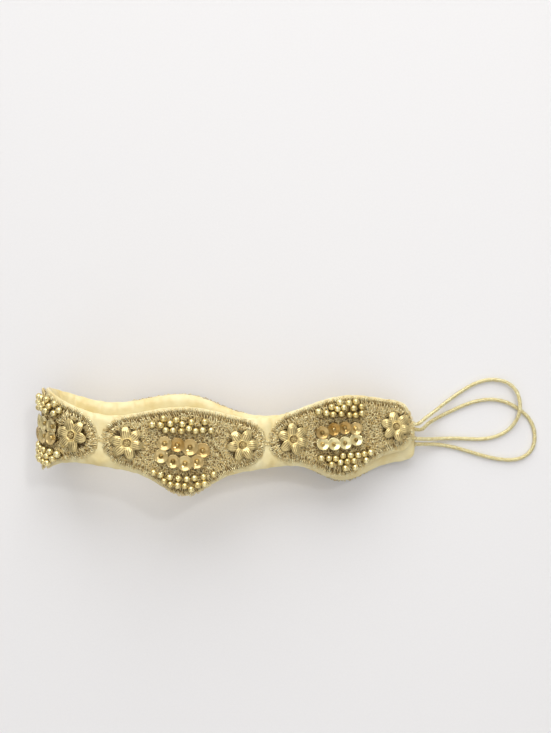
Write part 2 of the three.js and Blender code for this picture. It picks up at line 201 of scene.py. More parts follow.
def bandEdges(s):
    # rise and drop of the band's two edges from the line of the flowers
    s = np.asarray(s, float)
    place, share = motifShare(s)
    point = np.where(place % 2, motifs["wide"]["point"], motifs["arched"]["point"]) * edge["pointDrop"]
    rise = edge["neckRise"] + (edge["crownRise"] - edge["neckRise"]) * (1 + np.cos(np.pi * share)) / 2
    drop = edge["neckDrop"] + (point - edge["neckDrop"]) * np.exp(-(share / edge["pointSpread"]) ** 2)
    inFrom = np.clip((fold["halfLength"] - np.abs(s)) / edge["endCorner"], 0, 1)
    rounding = np.sqrt(np.maximum(0, 1 - (1 - inFrom) ** 2))
    return (edge["endRise"] + (rise - edge["endRise"]) * rounding,
            edge["endDrop"] + (drop - edge["endDrop"]) * rounding)


def trimEdges(s):
    # the same for the trim, which ends in a round about each outer flower
    s = np.asarray(s, float)
    rise, drop = bandEdges(s)
    place, share = motifShare(s)
    nearPoint = np.exp(-(share / edge["trimPointSpread"]) ** 2)
    rim = edge["trimRimFlower"] + (edge["trimRimPoint"] - edge["trimRimFlower"]) * nearPoint
    past = np.clip((share * motifPitch / 2 - flowerOffset) / edge["roundelReach"], 0, 1)
    rounding = np.sqrt(1 - past**2)
    return (rise - edge["trimRimUpper"]) * rounding, (drop - rim) * rounding


# Camera, straight above
camera = {"lens": 47.64, "height": 520, "fromFold": 116.8, "fromAxis": 39}
bpy.ops.object.camera_add()
eye = bpy.context.object
eye.name = "topCamera"
eye.data.lens = camera["lens"]
eye.location = Vector((
    (foldX.min() + originShift[0] + camera["fromFold"]) * mm,
    (onBand(motifPitch + flowerOffset, 0, 0)[1] + camera["fromAxis"]) * mm,
    camera["height"] * mm,
))
eye.data.clip_start, eye.data.clip_end = 0.01, 10
bpy.context.scene.camera = eye
print("camera stands at", [round(c / mm, 1) for c in eye.location])


# Shader helpers
def addNode(tree, kind, inputs=None, **settings):
    node = tree.nodes.new("ShaderNode" + kind)
    for key, value in settings.items():
        setattr(node, key, value)
    for key, value in (inputs or {}).items():
        if isinstance(value, bpy.types.NodeSocket):
            tree.links.new(value, node.inputs[key])
        else:
            node.inputs[key].default_value = value
    return node


def newGroup(name, inputs, outputs):
    tree = bpy.data.node_groups.new(name, "ShaderNodeTree")
    for label, value in inputs.items():
        kind = {3: "Vector", 4: "Color"}.get(np.size(value), "Float")
        socket = tree.interface.new_socket(label, in_out="INPUT", socket_type=f"NodeSocket{kind}")
        if kind != "Vector":
            socket.default_value = value
    for label, kind in outputs.items():
        tree.interface.new_socket(label, in_out="OUTPUT", socket_type=f"NodeSocket{kind}")
    return tree, tree.nodes.new("NodeGroupInput").outputs, tree.nodes.new("NodeGroupOutput").inputs


def newMaterial(name, **constants):
    material = bpy.data.materials.new(name)
    material.use_nodes = True
    tree = material.node_tree
    shader = tree.nodes["Principled BSDF"]
    for key, value in constants.items():
        shader.inputs[key.replace("_", " ")].default_value = value
    return material, tree, shader


def colour(red, green, blue):
    # a colour as seen on a screen, from 0 to 255
    return (*(((c / 255 + 0.055) / 1.055) ** 2.4 for c in (red, green, blue)), 1)


def mixColour(tree, factor, first, second):
    node = addNode(tree, "Mix", data_type="RGBA")
    for socket, value in ((node.inputs[0], factor), (node.inputs[6], first), (node.inputs[7], second)):
        if isinstance(value, bpy.types.NodeSocket):
            tree.links.new(value, socket)
        else:
            socket.default_value = value
    return node.outputs[2]


def noise(tree, vector, scale, detail=2.0):
    return addNode(tree, "TexNoise", {"Vector": vector, "Scale": scale, "Detail": detail}).outputs["Fac"]


def ranged(tree, value, given=(0, 1), to=(0, 1)):
    node = addNode(tree, "MapRange", {"Value": value, "From Min": given[0], "From Max": given[1],
                                      "To Min": to[0], "To Max": to[1]})
    return node.outputs["Result"]


def makeUnevenPlating():
    # a colour that is deep where the tint is low, with patches, dull spots and fine pits
    tree, given, result = newGroup(
        "unevenPlating",
        {"Vector": (0, 0, 0), "Bright": (1, 1, 1, 1), "Deep": (1, 1, 1, 1), "Tint": 1.0, "Scale": 300.0,
         "Gloss": 0.2},
        {"Color": "Color", "Roughness": "Float", "Height": "Float"},
    )
    patches, pits = noise(tree, given["Vector"], given["Scale"], 4.0), noise(tree, given["Vector"], 4200.0)
    spread = ranged(tree, patches, (0.3, 0.7), (-0.16, 0.16))
    share = addNode(tree, "Math", {0: given["Tint"], 1: spread}, operation="ADD", use_clamp=True)
    tree.links.new(mixColour(tree, share.outputs[0], given["Deep"], given["Bright"]), result["Color"])
    dull = ranged(tree, pits, (0.3, 0.7), (-0.06, 0.1))
    gloss = addNode(tree, "Math", {0: given["Gloss"], 1: dull}, operation="ADD")
    tree.links.new(gloss.outputs[0], result["Roughness"])
    tree.links.new(pits, result["Height"])
    return tree


def makeFoilThread():
    # a tint for each stitch, flecks where the foil catches light, and the fine winding
    tree, given, result = newGroup(
        "foilThread",
        {"Vector": (0, 0, 0), "Tint": 0.5, "Bright": (1, 1, 1, 1), "Deep": (1, 1, 1, 1), "Flecks": 2500.0},
        {"Color": "Color", "Roughness": "Float", "Height": "Float"},
    )
    flecks = noise(tree, given["Vector"], given["Flecks"], 3.0)
    glint = ranged(tree, flecks, (0.4, 0.6))
    both = addNode(tree, "Math", {0: given["Tint"], 1: glint}, operation="ADD")
    half = addNode(tree, "Math", {0: both.outputs[0], 1: 0.5}, operation="MULTIPLY")
    tree.links.new(mixColour(tree, half.outputs[0], given["Deep"], given["Bright"]), result["Color"])
    tree.links.new(ranged(tree, glint, to=(0.5, 0.26)), result["Roughness"])
    tree.links.new(flecks, result["Height"])
    return tree


unevenPlating, foilThread = makeUnevenPlating(), makeFoilThread()


def effectMaterial(name, effect, values, bump, depth, constants):
    # a material whose colour, gloss and relief come from a group that reads each point's tint
    material, tree, shader = newMaterial(name, **constants)
    group = addNode(tree, "Group", node_tree=effect)
    tree.links.new(addNode(tree, "TexCoord").outputs["Object"], group.inputs["Vector"])
    tree.links.new(addNode(tree, "Attribute", attribute_name="tint").outputs["Fac"], group.inputs["Tint"])
    for key, value in values.items():
        group.inputs[key].default_value = value
    tree.links.new(group.outputs["Color"], shader.inputs["Base Color"])
    tree.links.new(group.outputs["Roughness"], shader.inputs["Roughness"])
    relief = addNode(tree, "Bump", {"Height": group.outputs["Height"], "Strength": bump, "Distance": depth})
    tree.links.new(relief.outputs["Normal"], shader.inputs["Normal"])
    return material


def platedMaterial(name, bright, deep, gloss, scale=300.0, bump=0.15, **constants):
    values = {"Bright": bright, "Deep": deep, "Scale": scale, "Gloss": gloss}
    return effectMaterial(name, unevenPlating, values, bump, 0.00004, constants)


def threadMaterial(name, bright, deep, flecks, bump=0.5, **constants):
    values = {"Bright": bright, "Deep": deep, "Flecks": flecks}
    return effectMaterial(name, foilThread, values, bump, 0.00008, constants)


# Mesh helpers. A shape is its points in mm and its faces of four corners, the last one -1 in a triangle.
def plainMesh(name, points, faces):
    mesh = bpy.data.meshes.new(name)
    points, faces = np.asarray(points, float).reshape(-1, 3) * mm, np.asarray(faces)
    corners = (faces >= 0).sum(axis=1)
    loops = faces[faces >= 0]
    mesh.vertices.add(len(points))
    mesh.vertices.foreach_set("co", points.ravel())
    mesh.loops.add(len(loops))
    mesh.loops.foreach_set("vertex_index", loops)
    mesh.polygons.add(len(faces))
    mesh.polygons.foreach_set("loop_start", np.concatenate([[0], np.cumsum(corners)[:-1]]))
    mesh.update(calc_edges=True)
    if mesh.validate():
        print(name, "had faces that needed repair")
    mesh.polygons.foreach_set("use_smooth", np.ones(len(mesh.polygons), bool))
    piece = bpy.data.objects.new(name, mesh)
    bpy.context.collection.objects.link(piece)
    return piece


def meshPiece(name, shape, material, tint=None):
    piece = plainMesh(name, *shape)
    if tint is not None:
        layer = piece.data.attributes.new("tint", "FLOAT", "POINT")
        layer.data.foreach_set("value", np.asarray(tint, np.float32).ravel())
    piece.data.materials.append(material)
    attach(piece, "root")
    return piece


def tubeShape(rings):
    # rings of points skinned into a tube that is closed at both ends
    count, sides = rings.shape[:2]
    ring, side = np.meshgrid(np.arange(count - 1), np.arange(sides), indexing="ij")
    after = (side + 1) % sides
    walls = np.stack([ring * sides + side, ring * sides + after,
                      (ring + 1) * sides + after, (ring + 1) * sides + side], axis=-1).reshape(-1, 4)
    side, after, none = np.arange(sides), (np.arange(sides) + 1) % sides, np.full(sides, -1)
    last = (count - 1) * sides
    near = np.stack([after, side, np.full(sides, count * sides), none], axis=-1)
    far = np.stack([last + side, last + after, np.full(sides, count * sides + 1), none], axis=-1)
    points = np.concatenate([rings.reshape(-1, 3), rings[:1].mean(axis=1), rings[-1:].mean(axis=1)])
    return points, np.concatenate([walls, near, far])


def turnOutwards(piece):
    bpy.ops.object.select_all(action="DESELECT")
    bpy.context.view_layer.objects.active = piece
    piece.select_set(True)
    bpy.ops.object.mode_set(mode="EDIT")
    bpy.ops.mesh.select_all(action="SELECT")
    bpy.ops.mesh.remove_doubles(threshold=0.000005)
    bpy.ops.mesh.normals_make_consistent(inside=False)
    bpy.ops.object.mode_set(mode="OBJECT")
    piece.select_set(False)
    return piece


def chooseFaces(piece, test):
    # back in edit mode with the faces that pass the test selected
    bpy.ops.object.mode_set(mode="EDIT")
    bpy.ops.mesh.select_mode(type="FACE")
    bpy.ops.mesh.select_all(action="DESELECT")
    bpy.ops.object.mode_set(mode="OBJECT")
    for face in piece.data.polygons:
        face.select = test(face)
    bpy.ops.object.mode_set(mode="EDIT")


def pointsOf(mesh):
    points = np.empty(len(mesh.vertices) * 3)
    mesh.vertices.foreach_get("co", points)
    return points.reshape(-1, 3)


def takeShape(piece):
    # the shape of a finished model, which is then put away
    if bpy.context.mode != "OBJECT":
        bpy.ops.object.mode_set(mode="OBJECT")
    mesh = turnOutwards(piece).data
    points = pointsOf(mesh) / mm
    faces = [list(face.vertices) for face in mesh.polygons]
    faces = np.array([face + [-1] * (4 - len(face)) for face in faces])
    bpy.data.objects.remove(piece)
    return points, faces


def movedFaces(faces, offsets):
    return np.where(faces >= 0, faces + offsets, -1)


def spreadCopies(shape, axes, places, sizes):
    # copies of a shape, each on its own axes, as one shape
    points, faces = shape
    sizes = np.broadcast_to(np.asarray(sizes, float), (len(places), 3))
    turned = np.einsum("kij,kj,nj->kni", axes, sizes, points) + places[:, None, :]
    offsets = (np.arange(len(places)) * len(points))[:, None, None]
    return turned.reshape(-1, 3), movedFaces(faces[None], offsets).reshape(-1, 4)


def joinShapes(shapes):
    starts = np.cumsum([0] + [len(points) for points, _ in shapes])
    return (np.concatenate([points for points, _ in shapes]),
            np.concatenate([movedFaces(faces, start) for (_, faces), start in zip(shapes, starts)]))


def smoothPath(corners, spacing, finely=24):
    # a smooth line through the corners, cut into even steps
    corners = np.asarray(corners, float)
    padded = np.vstack([2 * corners[0] - corners[1], corners, 2 * corners[-1] - corners[-2]])
    line = []
    for a, b, c, d in zip(padded, padded[1:], padded[2:], padded[3:]):
        knots = np.cumsum([0] + [np.linalg.norm(q - p) ** 0.5 for p, q in ((a, b), (b, c), (c, d))])
        for t in np.linspace(knots[1], knots[2], finely, endpoint=False):
            def between(p, q, i, j):
                return p + (q - p) * (t - knots[i]) / (knots[j] - knots[i])

            ab, bc, cd = between(a, b, 0, 1), between(b, c, 1, 2), between(c, d, 2, 3)
            line.append(between(between(ab, bc, 0, 2), between(bc, cd, 1, 3), 1, 2))
    line = np.array(line + [corners[-1]])
    gone = sums(np.linalg.norm(np.diff(line, axis=0), axis=1))
    even = np.linspace(0, gone[-1], max(8, round(gone[-1] / spacing)) + 1)
    return np.stack([np.interp(even, gone, line[:, axis]) for axis in range(3)], axis=1), gone[-1]


def unit(vectors):
    return vectors / np.linalg.norm(vectors, axis=-1, keepdims=True)


def strandAlong(line, turns, ring, radius, weave=0.0, weaveTurns=0.0, start=0.0, sides=5, flat=1.0):
    # a thin strand that winds round a line at a distance
    side = unit(np.cross(unit(np.gradient(line, axis=0)), [0.0, 0.0, 1.0]))
    over = np.cross(side, unit(np.gradient(line, axis=0)))
    share = np.linspace(0, 1, len(line))
    angle = start + 2 * math.pi * turns * share
    away = ring + weave * np.sin(2 * math.pi * weaveTurns * share + 2 * start)
    outward = side * np.cos(angle)[:, None] + over * np.sin(angle)[:, None]
    centre = line + outward * away[:, None]
    across = np.cross(unit(np.gradient(centre, axis=0)), outward)
    spokes = np.linspace(0, 2 * math.pi, sides, endpoint=False)
    high, wide = np.cos(spokes) * radius * flat, np.sin(spokes) * radius
    return tubeShape(centre[:, None] + outward[:, None] * high[None, :, None]
                     + across[:, None] * wide[None, :, None])


# The two cord loops, in the part's frame, with the route that their solids follow
cords = {
    "radius": 1.0, "straight": 4, "clear": 0.3, "step": 0.4,
    "coreRadius": 0.86, "coreSides": 12, "braidStep": 4.2, "strands": 3, "strandRadius": 0.36,
    "strandRing": 0.82, "strandFlat": 0.5, "weave": 0.07, "lag": 0.4,
    "upper": {
        "exits": (0.6, -7.2),
        "route": [
            (9, 4, 7.6), (13, 6.6, 5.8), (17, 9.5, 3.8), (21.5, 12.7, 2.2), (26, 15.8, 1.3), (30.5, 18.7, 1),
            (35, 21.2, 1), (40, 23, 1), (45, 23.7, 1.1), (50, 23.1, 1.5), (54, 21.4, 2.1), (57, 18.4, 2.8),
            (58.7, 14.5, 3.4), (59.3, 10, 3.7), (58.8, 5.4, 3.3), (57.2, 1.3, 2.1), (53.8, -3, 1.1),
            (48.8, -6, 1), (43.4, -7.6, 1), (37.5, -8.1, 1), (31.5, -7.9, 1), (25.5, -7.7, 1.1),
            (19.5, -7.7, 1.7), (14, -7.8, 3.2), (9, -7.7, 5.8),
        ],
    },
    "lower": {
        "exits": (3.2, -4.6),
        "route": [
            (10.5, 0.4, 3.4), (14.5, 2.7, 1.8), (19.5, 5.2, 1.1), (25, 7.8, 1), (30.5, 10.2, 1), (36, 12, 1),
            (41.5, 13, 1), (47, 12.9, 1), (52, 11.8, 1), (56.8, 9.5, 1), (61, 6.6, 1), (64.6, 3.1, 1),
            (66.9, -1.3, 1), (67.8, -6.2, 1), (67.2, -11.2, 1), (64.8, -15.3, 1), (60.6, -18.1, 1),
            (55.2, -19.2, 1), (49.6, -18.9, 1), (43.8, -17.9, 1), (37.8, -16.3, 1), (31.8, -14.5, 1),
            (25.5, -12.7, 1), (19, -11.4, 1.3), (13, -10.7, 2.8),
        ],
    },
}
cordFoil = threadMaterial("braidedFoilCord", bright=colour(255, 248, 200), deep=colour(180, 154, 82),
                          flecks=1100.0, bump=1.0, Metallic=0.5)


def makeLoop(end):
    # a core with strands wound round it both ways, out of the band's cut end and back into it
    endS = fold["halfLength"] if end == "upper" else -fold["halfLength"]
    heading = np.interp(endS, foldS, foldHeading)
    out = np.array([math.cos(heading), 0, math.sin(heading)]) * np.sign(endS)
    start = onBand(fold["halfLength"], 0, 0) * (1, 1, 0)
    first, last = (onBand(endS, v, 0) for v in cords[end]["exits"])
    route = [first + out * cords["clear"], first + out * cords["straight"]]
    route += [start + np.array(point) for point in cords[end]["route"]]
    route += [last + out * cords["straight"], last + out * cords["clear"]]
    line, length = smoothPath(route, cords["step"])
    turns = length / cords["braidStep"]
    shapes = [strandAlong(line[::2], 0, 0.0, cords["coreRadius"], sides=cords["coreSides"])]
    # painted shade: the core is tinted darker than the strands, for the gaps between them
    tints = [np.full(len(shapes[0][0]), -0.1)]
    for i in range(cords["strands"]):
        for way in (1, -1):
            strand = strandAlong(line, way * turns, cords["strandRing"], cords["strandRadius"],
                                 weave=cords["weave"], weaveTurns=turns * cords["strands"],
                                 flat=cords["strandFlat"],
                                 start=2 * math.pi * i / cords["strands"] + (0 if way > 0 else cords["lag"]))
            shapes.append(strand)
            tints.append(np.full(len(strand[0]), chance.uniform(0.5, 1.1)))
    piece = meshPiece(f"braided_cord_loop_{end}", joinShapes(shapes), cordFoil,
                      np.concatenate(tints))
    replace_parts(piece, f"cord_loop_{end}")
    turnOutwards(piece)
    print(piece.name, "is", round(length, 1), "mm long")


makeLoop("upper")
makeLoop("lower")

# Floor and light
studio = {
    "paper": colour(232, 230, 229), "paperGrain": colour(228, 226, 225), "grainScale": 900.0, "size": 16,
    "room": colour(240, 240, 242), "roomDark": 0.1, "roomBright": 0.66,
}
bpy.ops.mesh.primitive_plane_add(size=studio["size"])
floor = bpy.context.object
floor.name = "paleFloor"
floorPaint, tree, shader = newMaterial("palePaper", Roughness=0.85)
grain = noise(tree, addNode(tree, "TexCoord").outputs["Object"], studio["grainScale"])
tree.links.new(mixColour(tree, grain, studio["paper"], studio["paperGrain"]), shader.inputs["Base Color"])
floor.data.materials.append(floorPaint)

world = bpy.data.worlds.new("softRoom")
world.use_nodes = True
bpy.context.scene.world = world
room = world.node_tree
room.nodes["Background"].inputs["Color"].default_value = studio["room"]
# the room is brighter towards the window side, beyond the band's plain edge
wayOut = addNode(room, "SeparateXYZ", {"Vector": addNode(room, "TexCoord").outputs["Generated"]})
fade = ranged(room, wayOut.outputs["Y"], (-0.6, 0.7), (studio["roomDark"], studio["roomBright"]))
room.links.new(fade, room.nodes["Background"].inputs["Strength"])

lamps = [
    {"name": "keySoftbox", "at": (-0.1, 1.5, 1.0), "size": 1.6, "power": 28.5},
    {"name": "fillSoftbox", "at": (0.05, -1.0, 1.1), "size": 2.6, "power": 17.0},
    {"name": "sparkLamp", "at": (0.25, 0.3, 0.8), "size": 0.06, "power": 0.8},
]
for lamp in lamps:
    bpy.ops.object.light_add(type="AREA", location=lamp["at"])
    light = bpy.context.object
    light.name = lamp["name"]
    light.data.size = lamp["size"]
    light.data.energy = lamp["power"]
    light.rotation_euler = (-Vector(lamp["at"])).to_track_quat("-Z", "Y").to_euler()
print("camera, cords and studio done")

# Padded satin band
satin = {
    "stations": 300, "sides": 40, "edgeShare": 0.3, "puckerDepth": 0.22, "puckerEvery": 7.5,
    "sewnFrom": 0.97, "lit": colour(240, 228, 180), "shade": colour(224, 201, 136),
    "simScale": 50, "pressure": 4, "shrink": -0.05, "frames": 20, "farthest": 1.0,
}


def satinMaterial():
    material, tree, shader = newMaterial("creamSatin", Sheen_Weight=0.3, Sheen_Roughness=0.35,
                                         Specular_IOR_Level=0.5)
    uv = addNode(tree, "UVMap", uv_map="bandMap").outputs["UV"]
    threads = addNode(tree, "TexWave", {"Vector": uv, "Scale": 1400.0, "Distortion": 1.5, "Detail": 1.0},
                      bands_direction="Y")
    along = addNode(tree, "Mapping", {"Vector": uv, "Scale": (0.15, 1.0, 1.0)}).outputs["Vector"]
    floats, clouds = noise(tree, along, 2600.0, 3.0), noise(tree, uv, 90.0, 3.0)
    base = mixColour(tree, ranged(tree, clouds, (0.3, 0.7)), satin["shade"], satin["lit"])
    toned = addNode(tree, "VectorMath", {0: base}, operation="SCALE")
    tree.links.new(ranged(tree, floats, to=(0.92, 1.06)), toned.inputs["Scale"])
    tree.links.new(toned.outputs[0], shader.inputs["Base Color"])
    tree.links.new(ranged(tree, floats, to=(0.3, 0.5)), shader.inputs["Roughness"])
    weave = addNode(tree, "Bump", {"Height": threads.outputs["Fac"], "Strength": 0.05, "Distance": 0.00005})
    creases = addNode(tree, "Bump", {"Height": clouds, "Strength": 0.3, "Distance": 0.0006,
                                     "Normal": weave.outputs["Normal"]})
    tree.links.new(creases.outputs["Normal"], shader.inputs["Normal"])
    return material


section = {"sideRound": 0.55, "faceRound": 0.5}  # below 1 for a fuller strip


def bandSection(s, angle, thickness, edges, edgeShare):
    # v and h round the outline of a strip at s, and how far each point is towards an edge
    rise, drop = edges(s)
    side = np.cos(angle)
    side = np.sign(side) * np.abs(side) ** section["sideRound"]
    v = (rise - drop) / 2 + side * (rise + drop) / 2
    fullness = edgeShare + (1 - edgeShare) * np.cbrt(1 - np.abs(side) ** 3)
    h = np.sign(np.sin(angle)) * np.abs(np.sin(angle)) ** section["faceRound"] * thickness / 2 * fullness
    return v, h, side


def fillOut(piece, sewn):
    # the padding presses the cloth out between its seams: a cloth simulation, run at a larger size
    mesh = piece.data
    before = pointsOf(mesh)
    mesh.transform(Matrix.Scale(satin["simScale"], 4))
    piece.vertex_groups.new(name="sewn").add(sewn.tolist(), 1, "REPLACE")
    bpy.ops.object.modifier_add(type="CLOTH")
    cloth = piece.modifiers[0]
    cloth.settings.vertex_group_mass = "sewn"
    cloth.settings.use_pressure = True
    cloth.settings.uniform_pressure_force = satin["pressure"]
    cloth.settings.shrink_min = satin["shrink"]
    cloth.settings.effector_weights.gravity = 0
    for step in range(1, satin["frames"] + 1):
        bpy.context.scene.frame_set(step)
    bpy.ops.object.modifier_apply(modifier=cloth.name)
    bpy.context.scene.frame_set(1)
    piece.vertex_groups.clear()
    moved = pointsOf(mesh) / satin["simScale"] - before
    far = np.linalg.norm(moved, axis=1, keepdims=True)
    print("satin moved by up to", round(far.max() / mm, 2), "mm, mostly", round(np.median(far) / mm, 2))
    moved *= np.minimum(1, satin["farthest"] * mm / np.maximum(far, 1e-9))
    mesh.vertices.foreach_set("co", (before + moved).ravel())
    mesh.update()


def makeBand():
    s = np.linspace(-fold["halfLength"], fold["halfLength"], satin["stations"])[:, None]
    angle = np.linspace(0, 2 * math.pi, satin["sides"], endpoint=False)[None, :]
    v, h, side = bandSection(s, angle, fold["thickness"], bandEdges, satin["edgeShare"])
    # stitches pull the edge in here and there, and the cloth puckers between them
    phase = 2 * math.pi * s / satin["puckerEvery"]
    pucker = np.sin(phase + 1.3 * np.sin(s / 11)) * 0.6 + np.sin(phase * 1.7 + 2) * 0.4
    v = v + side**5 * pucker * satin["puckerDepth"]
    h = h + np.abs(side) ** 3 * pucker * satin["puckerDepth"] * 0.8
    piece = meshPiece("satin_band", tubeShape(onBand(s, v, h)), satinMaterial())
    uvLayer = piece.data.uv_layers.new(name="bandMap")
    flatS = np.append(np.repeat(s, satin["sides"], axis=1), [s[0], s[-1]]) * mm
    flatV = np.append(v, [0, 0]) * mm
    corner = np.empty(len(piece.data.loops), int)
    piece.data.loops.foreach_get("vertex_index", corner)
    uvLayer.data.foreach_set("uv", np.stack([flatS[corner], flatV[corner]], axis=1).ravel())
    turnOutwards(piece)
    rise, drop = trimEdges(s)
    sewn = (np.abs(side) > satin["sewnFrom"]) | ((h > 0) & (v < rise - 1) & (v > 1 - drop))
    fillOut(piece, np.flatnonzero(np.append(sewn, [True, True])))
    bpy.ops.object.modifier_add(type="SUBSURF")
    bpy.ops.object.modifier_apply(modifier=piece.modifiers[0].name)
    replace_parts(piece, "padded_band")


makeBand()
print("satin band done")


# Where everything is sewn on the trim
def rowPlaces(motif, row):
    count, start, end, vEnd, vMiddle, slope = row
    share = np.linspace(0, 1, count)
    s = motif["centre"] + motif["side"] * (start + (end - start) * share) * flowerOffset
    v = vMiddle + (vEnd - vMiddle) * (2 * share - 1) ** 2 - slope * (2 * share - 1)
    return s, v * edge["crownRise"]


def fieldPlaces(motif, kind):
    rows = [rowPlaces(motif, row) for row in motifs[motif["kind"]][kind]]
    return np.concatenate([row[0] for row in rows]), np.concatenate([row[1] for row in rows])


def settledBeads(motif, kind):
    # hand-sewn beads stray from their rows, and those that would run into each other push apart
    s, v = fieldPlaces(motif, kind)
    spots = np.stack([s, v], axis=1) + chance.normal(0, sewing["stray"], (len(s), 2))
    for _ in range(sewing["rounds"]):
        gap = spots[:, None] - spots[None]
        reach = np.linalg.norm(gap, axis=2) + np.eye(len(spots)) * 99
        push = np.clip(sewing["apart"] - reach, 0, None) / 2
        spots = spots + (unit(gap + 1e-9) * push[..., None]).sum(axis=1)
    return spots


def openness(motif, s, v):
    # 1 in the open, 0 beside the beads, sequins and flowers, and below 0 under them
    radii = np.concatenate([[radius] * len(motif[kind]) for kind, radius in sewing["clear"].items()])
    spots = np.concatenate([motif[kind] for kind in sewing["clear"]])
    away = np.hypot(np.subtract.outer(s, spots[:, 0]), np.subtract.outer(v, spots[:, 1])) - radii
    return np.clip(away.min(axis=-1) / sewing["shadeReach"], -1, 1)


sewing = {
    "stray": 0.4, "apart": 3.45, "rounds": 30,
    # how far from the middle of each the stitches keep clear
    "clear": {"upperAt": 1.8, "lowerAt": 1.8, "sequinsAt": 3.3, "flowersAt": 7.2},
    "shadeReach": 1.5,
}
for motif in motifRows:
    motif["upperAt"], motif["lowerAt"] = settledBeads(motif, "upper"), settledBeads(motif, "lower")
    motif["sequinsAt"] = np.stack(fieldPlaces(motif, "sequins"), axis=1)
    motif["flowersAt"] = np.array([(motif["centre"] + side * flowerOffset, 0) for side in (-1, 1)])


# Embroidered trim: a dense ground, and stitches of foil thread over it
trim = {
    "bottom": 1.8, "thickness": 0.8, "stations": 110, "sides": 36, "edgeShare": 0.7, "groundTint": 0.45,
    "threadRadius": 0.2, "threadSides": 4, "height": 2.6,
    # two rows of plain stitches and one of loops: inset from the edge, height, and how much lighter
    "fringe": [("long", 4.3, 2.6, 0), ("long", 2.6, 2.5, 0.1), ("loop", None, 2.5, 0.2)],
    "fringeEvery": 1.3, "loopInset": {"folded": 0.1, "lying": -0.5, "upper": 0.2},
    "rings": [(7.6, 36), (9.6, 44)],  # about each flower: radius and number of stitches
    "purls": 5, "purlRing": 8.6, "purlHeight": 2.95,
    "fillEvery": 0.92, "fillFrom": -25, "fillTo": 20, "fillStray": 0.35,
    "fillKinds": {"short": 0.3, "curl": 0.4, "hook": 0.3},
}
# the ground's dark colour is partly its own and partly painted shade in the gaps between the stitches
groundThread = threadMaterial("trimGround", bright=colour(176, 146, 84), deep=colour(62, 45, 16),
                              flecks=1300.0, bump=1.0, Metallic=0.3)
stitchThread = threadMaterial("stitchFoil", bright=colour(255, 246, 200), deep=colour(206, 176, 108),
                              flecks=1300.0, Metallic=0.65)


def makeGround(motif):
    # a rippled sheet, with painted shade beside whatever is sewn on it
    reach = flowerOffset + edge["roundelReach"] - 0.6
    s = motif["centre"] + np.linspace(-reach, reach, trim["stations"])[:, None]
    angle = np.linspace(0, 2 * math.pi, trim["sides"], endpoint=False)[None, :]
    v, h, side = bandSection(s, angle, trim["thickness"], trimEdges, trim["edgeShare"])
    ripple = 0.25 * np.sin(s * 2.9) * np.sin(v * 2.6) + 0.12 * np.sin(s * 6.1 + v * 5.3)
    v = v + side**7 * 0.35 * np.sin(s * 3.1)
    h = trim["bottom"] + trim["thickness"] / 2 + h + (h > 0) * ripple * 0.6
    # painted shade: the tint falls off beside and under the beads, sequins and flowers
    tint = trim["groundTint"] * np.clip(openness(motif, np.broadcast_to(s, v.shape), v), 0, 1)
    return turnOutwards(meshPiece(f"trim_ground_{motif['name']}", tubeShape(onBand(s, v, h)), groundThread,
                                  np.append(tint, [0, 0])))


def bentThread(moves, rise, radius=1.0):
    # a ring of thread drawn along bends in the plane of the cloth: (length, turn, steps) each
    bpy.ops.mesh.primitive_circle_add(vertices=trim["threadSides"], rotation=(0, math.pi / 2, 0),
                                      radius=trim["threadRadius"] * radius * mm)
    thread = bpy.context.object
    bpy.ops.object.transform_apply(location=False, rotation=True, scale=False)
    bpy.ops.object.mode_set(mode="EDIT")
    bpy.ops.mesh.select_mode(type="VERT")
    bpy.ops.mesh.select_all(action="SELECT")
    spot, heading = np.zeros(2), 0.0
    for length, turn, steps in moves:
        bend = length / turn
        centre = spot + bend * np.array([-math.sin(heading), math.cos(heading)])
        bpy.ops.mesh.spin(steps=steps, angle=-turn, center=(*centre * mm, 0), axis=(0, 0, 1))
        heading += turn
        spot = centre + bend * np.array([math.sin(heading), -math.cos(heading)])
    bpy.ops.mesh.select_all(action="SELECT")
    bpy.ops.mesh.fill_holes(sides=trim["threadSides"])
    points, faces = takeShape(thread)
    points[:, :2] -= (points[:, :2].max(axis=0) + points[:, :2].min(axis=0)) / 2
    away = np.hypot(points[:, 0], points[:, 1]) / np.hypot(points[:, 0], points[:, 1]).max()
    points[:, 2] += rise * (1 - 1.5 * away**2)  # both ends dip into the cloth
    return points, faces


stitchShapes = {
    "long": bentThread([(3.4, 0.35, 5)], 0.45, 1.15),
    "short": bentThread([(2.0, 0.6, 4)], 0.45, 1.1),
    "hook": bentThread([(2.4, 2.2, 6)], 0.4),
    "curl": bentThread([(2.9, 4.2, 8)], 0.4),
    "loop": bentThread([(2.1, 0.12, 2), (1.3, math.pi, 5), (2.1, 0.12, 2)], 0.45, 1.05),
    "purl": bentThread([(5.2, 5.6, 11)], 0.3, 1.1),
}


def motifOutline(motif, inset, every):
    # even steps along the trim's edge round one motif, and the way out from it
    reach = flowerOffset + edge["roundelReach"] - 0.4
    s = motif["centre"] + reach * np.sin(np.linspace(-math.pi / 2, math.pi / 2, 400))
    rise, drop = trimEdges(s)
    loop = np.concatenate([np.stack([s, rise], 1), np.stack([s[::-1], -drop[::-1]], 1)])
    gone = sums(np.linalg.norm(np.diff(loop, axis=0), axis=1))
    even = np.arange(0, gone[-1], every)
    spots = np.stack([np.interp(even, gone, loop[:, 0]), np.interp(even, gone, loop[:, 1])], 1)
    ahead = unit(np.gradient(spots, axis=0))
    out = np.stack([-ahead[:, 1], ahead[:, 0]], 1)
    return spots - out * inset, np.arctan2(out[:, 1], out[:, 0])


def insideTrim(s, v, inset):
    rise, drop = trimEdges(s)
    return (v < rise - inset) & (v > -drop + inset)


